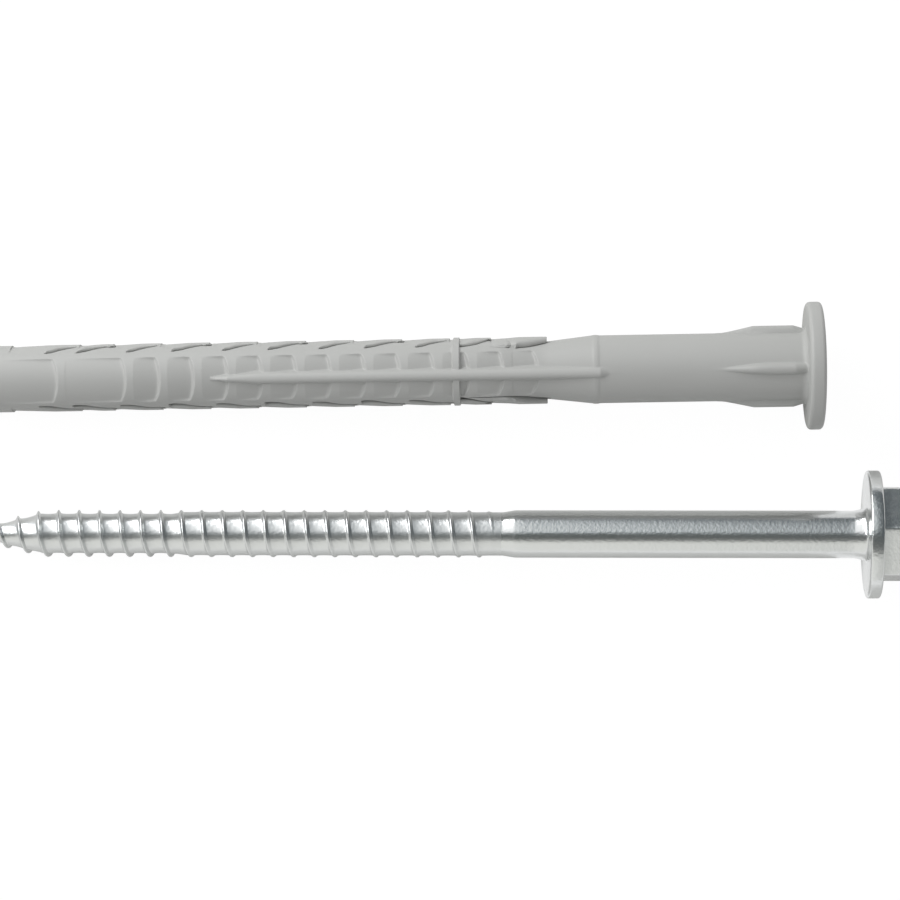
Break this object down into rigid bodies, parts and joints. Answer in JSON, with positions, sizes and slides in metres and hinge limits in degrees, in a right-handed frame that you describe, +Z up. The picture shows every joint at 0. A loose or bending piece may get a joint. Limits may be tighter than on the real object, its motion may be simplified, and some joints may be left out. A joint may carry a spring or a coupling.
{
  "type": "frame fixing",
  "caption": "Nylon frame fixing taken apart: a long barbed sleeve with a collar, and its flanged hexagon screw, lying side by side.",
  "frame": {"origin": "centre of the bounding box on the surface that both pieces lie on", "axes": "+X along the pieces towards the collar and the hexagon, +Y from the screw towards the sleeve, +Z up"},
  "size_m": [0.1418, 0.0436, 0.0188],
  "materials": {
    "nylon": "injection moulded grey nylon, satin",
    "plated_steel": "bright zinc plate over cold-forged steel"
  },
  "bodies": {
    "root": {"sleeve": "nylon", "screw": "plated_steel"}
  },
  "joints": []
}
